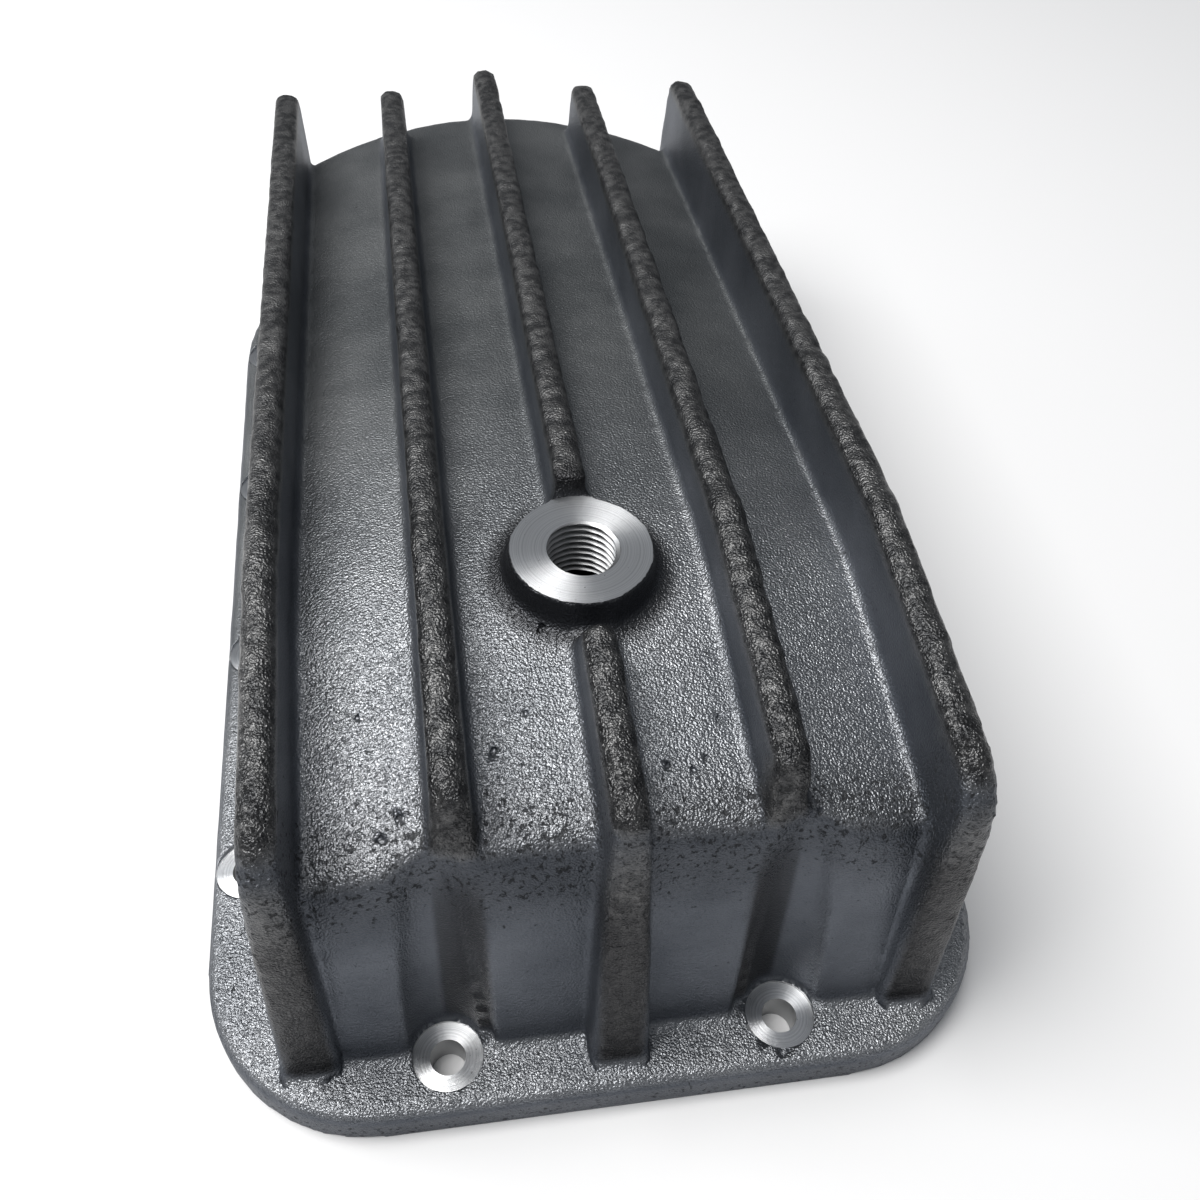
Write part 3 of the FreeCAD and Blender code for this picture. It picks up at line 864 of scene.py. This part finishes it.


# The skin's colour: sides painted darker and bluish as painted shade, a plate painted brighter towards the
# near end as a painted highlight, dark fin tops, pits, and painted shade on the boss's side and the fins'
# legs.
def skinColour(tree, masks, grainNode):
    tone = rangeNode(tree, grainNode.outputs["Tone"], *castSkin["toneRange"])
    lump = rangeNode(tree, grainNode.outputs["Lump"], *castSkin["lumpRange"])
    side = colourMix(tree, tone, *castSkin["side"])
    farPlate = colourMix(tree, tone, *castSkin["farPlate"])
    highlightedNearPlate = colourMix(tree, tone, *castSkin["highlightedNearPlate"])
    # Towards the near end the plate takes the brighter colour: a painted highlight.
    plate = colourMix(tree, masks["nearness"], farPlate, highlightedNearPlate)
    # Upright faces take the darker side colour as painted shade, and level faces take the plate's colour.
    skin = colourMix(tree, masks["level"], side, plate)
    skin = colourMix(tree, masks["finTop"], skin, colourMix(tree, lump, *castSkin["finTop"]))
    paintedShade = mathNode(tree, "MULTIPLY", masks["paintedShade"], castSkin["paintedShadeShare"])
    pitted = mathNode(tree, "MULTIPLY", masks["pitted"], castSkin["pittedShare"])
    # Painted shade on the boss's side and the fins' legs, and the darkening of the pitted strips, both mix
    # towards one dark colour.
    skin = colourMix(tree, mathNode(tree, "MAXIMUM", paintedShade, pitted), skin, castSkin["shadeAndPitting"])
    pit = mathNode(tree, "MULTIPLY", grainNode.outputs["Pit"], castSkin["pitShare"])
    return colourMix(tree, pit, skin, castSkin["pit"])


# The grain in relief: strongest on the near plate and the pitted strips, faint on the walls and inside.
def skinNormal(tree, masks, grainNode):
    pitted = mathNode(tree, "MULTIPLY", masks["pitted"], castSkin["pittedRelief"])
    coarse = mathNode(tree, "MAXIMUM", masks["level"], pitted)
    outside = rangeNode(tree, coarse, 0.0, 1.0, castSkin["sideRelief"], 1.0)
    inside = rangeNode(tree, masks["hidden"], 0.0, 1.0, 1.0, castSkin["insideRelief"])
    strength = mathNode(tree, "MULTIPLY_ADD", masks["nearness"], castSkin["nearRelief"], castSkin["relief"])
    strength = mathNode(tree, "MULTIPLY", strength, outside)
    strength = mathNode(tree, "MULTIPLY", strength, inside)
    pit = grainNode.outputs["Pit"]
    height = mathNode(tree, "MULTIPLY_ADD", pit, castSkin["pitDepth"], grainNode.outputs["Height"])
    lump = mathNode(tree, "MULTIPLY", grainNode.outputs["Lump"], masks["finTop"])
    height = mathNode(tree, "MULTIPLY_ADD", lump, castSkin["lumpHeight"], height)
    return bumpNode(tree, height, strength, castSkin["bumpDistance"])


# Dark cast aluminium, sparkling on its level faces.
def castMetal():
    made, tree, shader = material("castAluminium")
    names = ("level", "finTop", "nearness", "pitted", "paintedShade", "hidden")
    masks = {name: maskNode(tree, name) for name in names}
    masks["level"] = mathNode(tree, "MAXIMUM", masks["level"], masks["finTop"])
    grainNode = tree.nodes.new("ShaderNodeGroup")
    grainNode.node_tree = castGrain
    grainNode.inputs["Pebble scale"].default_value = castSkin["pebbleScale"]
    tree.links.new(masks["pitted"], grainNode.inputs["Pitted"])
    bright = mathNode(tree, "MULTIPLY", masks["level"], masks["nearness"])
    rough = rangeNode(tree, bright, 0.0, 1.0, castSkin["roughness"], castSkin["brightRoughness"])
    rough = mathNode(tree, "MULTIPLY_ADD", grainNode.outputs["Pit"], castSkin["pitRoughness"], rough)
    tree.links.new(skinColour(tree, masks, grainNode), shader.inputs["Base Color"])
    tree.links.new(rough, shader.inputs["Roughness"])
    tree.links.new(skinNormal(tree, masks, grainNode), shader.inputs["Normal"])
    shader.inputs["Metallic"].default_value = castSkin["metallic"]
    return made


turnedFinish = {
    "darkRing": (0.60, 0.61, 0.62),
    "brightRing": (0.90, 0.91, 0.92),
    "speck": (0.16, 0.16, 0.16),
    "ringRange": (0.30, 0.70),
    "speckRange": (0.70, 0.74),
    "ringScale": 3.2,
    "ringDetail": 6.0,
    "ringRoughness": 0.72,
    "speckNoise": (1.6, 3.0, 0.6),
    "roughness": 0.30,
    "anisotropic": 0.90,
    "bumpStrength": 0.6,
    "bumpDistance": 0.00005,
}


# Fine rings about each hole, from the distance that the "turned" map holds.
def ringNode(tree, place):
    radius = tree.nodes.new("ShaderNodeVectorMath")
    radius.operation = "LENGTH"
    tree.links.new(place, radius.inputs[0])
    rings = tree.nodes.new("ShaderNodeTexNoise")
    rings.noise_dimensions = "1D"
    rings.inputs["Scale"].default_value = turnedFinish["ringScale"]
    rings.inputs["Detail"].default_value = turnedFinish["ringDetail"]
    rings.inputs["Roughness"].default_value = turnedFinish["ringRoughness"]
    tree.links.new(radius.outputs["Value"], rings.inputs["W"])
    return rings.outputs["Fac"]


# The direction away from the hole's middle, along which the highlights stretch.
def outwardNode(tree, place):
    split = tree.nodes.new("ShaderNodeSeparateXYZ")
    tree.links.new(place, split.inputs[0])
    along = tree.nodes.new("ShaderNodeCombineXYZ")
    tree.links.new(split.outputs["X"], along.inputs["X"])
    tree.links.new(split.outputs["Y"], along.inputs["Y"])
    unit = tree.nodes.new("ShaderNodeVectorMath")
    unit.operation = "NORMALIZE"
    tree.links.new(along.outputs[0], unit.inputs[0])
    return unit.outputs[0]


# Bright turned metal on the drain's face and the spot faces.
def turnedMetal():
    made, tree, shader = material("turnedFace")
    turnedMap = tree.nodes.new("ShaderNodeUVMap")
    turnedMap.uv_map = "turned"
    place = turnedMap.outputs["UV"]
    rings = ringNode(tree, place)
    specks = noiseNode(tree, millimetres(tree), *turnedFinish["speckNoise"])
    metal = colourMix(tree, rangeNode(tree, rings, *turnedFinish["ringRange"]),
                      turnedFinish["darkRing"], turnedFinish["brightRing"])
    dirt = rangeNode(tree, specks, *turnedFinish["speckRange"])
    metal = colourMix(tree, dirt, metal, turnedFinish["speck"])
    bump = bumpNode(tree, rings, turnedFinish["bumpStrength"], turnedFinish["bumpDistance"])
    tree.links.new(metal, shader.inputs["Base Color"])
    tree.links.new(bump, shader.inputs["Normal"])
    tree.links.new(outwardNode(tree, place), shader.inputs["Tangent"])
    shader.inputs["Metallic"].default_value = 1.0
    shader.inputs["Roughness"].default_value = turnedFinish["roughness"]
    shader.inputs["Anisotropic"].default_value = turnedFinish["anisotropic"]
    return made


threadFinish = {
    "colour": (0.33, 0.335, 0.34, 1),
    "roughness": 0.38,
}


# Plain cut metal on the thread and the walls of the screw holes.
def threadMetal():
    made, tree, shader = material("cutThread")
    shader.inputs["Base Color"].default_value = threadFinish["colour"]
    shader.inputs["Metallic"].default_value = 1.0
    shader.inputs["Roughness"].default_value = threadFinish["roughness"]
    return made


for made in (castMetal(), turnedMetal(), threadMetal()):
    blank.data.materials.append(made)
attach(blank, "root")
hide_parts("oil_pan")
step("materials are on")


studio = {
    "viewTransform": "Standard",
    "floorSize": 6.0,
    "floorTone": 0.92,
    "floorRoughness": 0.9,
    "floorShine": 0.1,
    "roomLow": (0.085, 0.090, 0.100),
    "roomHigh": (0.30, 0.31, 0.325),
    "roomHighAt": 0.9,
    "roomStrength": 1.0,
    # Soft boxes, in metres and watts.
    "boxes": {
        "overhead": {
            "place": (-0.46, 0.00, 1.02),
            "target": (0.0, 0.0, 0.0),
            "width": 0.80,
            "height": 0.8,
            "power": 14.8,
            "tint": (1.0, 0.99, 0.98),
        },
        "leftBack": {
            "place": (-0.80, 0.45, 0.70),
            "target": (0.0, 0.0, 0.05),
            "width": 0.4,
            "height": 0.5,
            "power": 0.8,
            "tint": (0.90, 0.95, 1.0),
        },
    },
}


def makeStage():
    floor = newObject("floor", bpy.data.meshes.new("floor"))
    bm = bmesh.new()
    bmesh.ops.create_grid(bm, x_segments=1, y_segments=1, size=studio["floorSize"])
    bm.to_mesh(floor.data)
    bm.free()
    made, tree, shader = material("paleFloor")
    tone = studio["floorTone"]
    shader.inputs["Base Color"].default_value = (tone, tone, tone, 1)
    shader.inputs["Roughness"].default_value = studio["floorRoughness"]
    shader.inputs["Specular IOR Level"].default_value = studio["floorShine"]
    floor.data.materials.append(made)


def softBox(name, box):
    data = bpy.data.lights.new(name, "AREA")
    data.shape = "RECTANGLE"
    data.size = box["width"]
    data.size_y = box["height"]
    data.energy = box["power"]
    data.color = box["tint"]
    obj = bpy.data.objects.new(name, data)
    scene.collection.objects.link(obj)
    obj.location = box["place"]
    aim = Vector(box["target"]) - Vector(box["place"])
    obj.rotation_euler = aim.to_track_quat("-Z", "Y").to_euler()


# A dim room, darker low down, so that the metal has something dark to mirror.
def lightRoom():
    world = scene.world or bpy.data.worlds.new("studio")
    scene.world = world
    world.use_nodes = True
    nodes, links = world.node_tree.nodes, world.node_tree.links
    background = nodes["Background"]
    place = nodes.new("ShaderNodeTexCoord")
    split = nodes.new("ShaderNodeSeparateXYZ")
    links.new(place.outputs["Generated"], split.inputs[0])
    ramp = nodes.new("ShaderNodeValToRGB")
    low, high = ramp.color_ramp.elements
    low.position = 0.0
    low.color = (*studio["roomLow"], 1)
    high.position = studio["roomHighAt"]
    high.color = (*studio["roomHigh"], 1)
    links.new(split.outputs["Z"], ramp.inputs["Fac"])
    links.new(ramp.outputs["Color"], background.inputs["Color"])
    background.inputs["Strength"].default_value = studio["roomStrength"]


makeStage()
scene.view_settings.view_transform = studio["viewTransform"]
lightRoom()
for name, box in studio["boxes"].items():
    softBox(name, box)
step("stage and lights are set")
